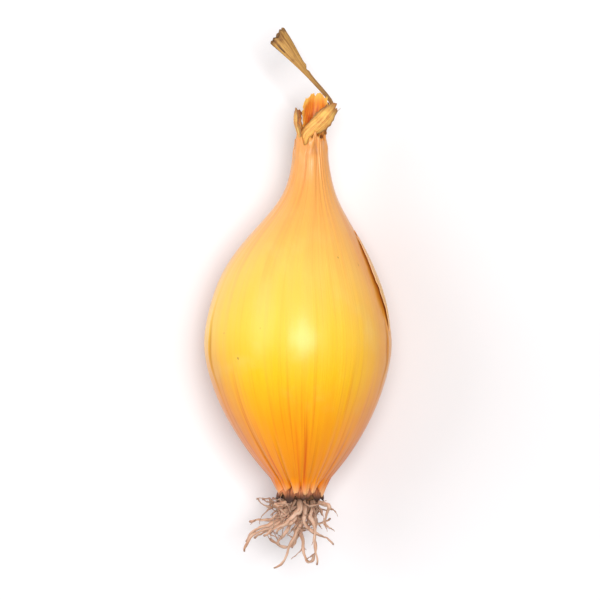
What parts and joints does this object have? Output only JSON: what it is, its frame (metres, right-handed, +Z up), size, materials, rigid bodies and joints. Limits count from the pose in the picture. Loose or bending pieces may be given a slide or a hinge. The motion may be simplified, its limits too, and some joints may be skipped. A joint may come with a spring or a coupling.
{
  "type": "onion set",
  "caption": "Small dry onion bulb for planting, lying on its side, with papery golden skin, a torn neck, a withered leaf stub and a tuft of dry roots.",
  "frame": {"origin": "middle of the small flat spot under the belly that the bulb lies on", "axes": "+Y along the bulb's axis from the root end to the neck, +Z up from the surface it lies on, +X to the bulb's right with the neck pointing away"},
  "size_m": [0.0208, 0.0582, 0.0193],
  "materials": {
    "golden_skin": "satin papery skin, golden yellow turning orange towards the root end",
    "cork_plate": "rough, corky",
    "torn_skin": "matte, ragged dry skin",
    "dry_root": "matte, dry and wiry",
    "dried_sheath": "matte dried leaf sheath",
    "inner_scale": "satin, slightly moist looking",
    "dried_leaf": "matte, fibrous",
    "loose_skin": "satin papery skin with a pale torn edge"
  },
  "bodies": {
    "root": {"bulb": "golden_skin", "basal_plate": "cork_plate", "base_skin_frill": "torn_skin", "root_01": "dry_root", "root_02": "dry_root", "root_03": "dry_root", "root_04": "dry_root", "root_05": "dry_root", "root_06": "dry_root", "root_07": "dry_root", "root_08": "dry_root", "root_09": "dry_root", "root_10": "dry_root", "root_11": "dry_root", "root_12": "dry_root", "root_13": "dry_root", "root_14": "dry_root", "root_15": "dry_root", "root_16": "dry_root", "root_17": "dry_root", "root_18": "dry_root", "root_19": "dry_root", "root_20": "dry_root", "sheath_left": "dried_sheath", "sheath_right": "dried_sheath", "sheath_back": "dried_sheath", "inner_scale_tip": "inner_scale", "dried_leaf": "dried_leaf", "outer_skin_flake": "loose_skin"}
  },
  "joints": []
}
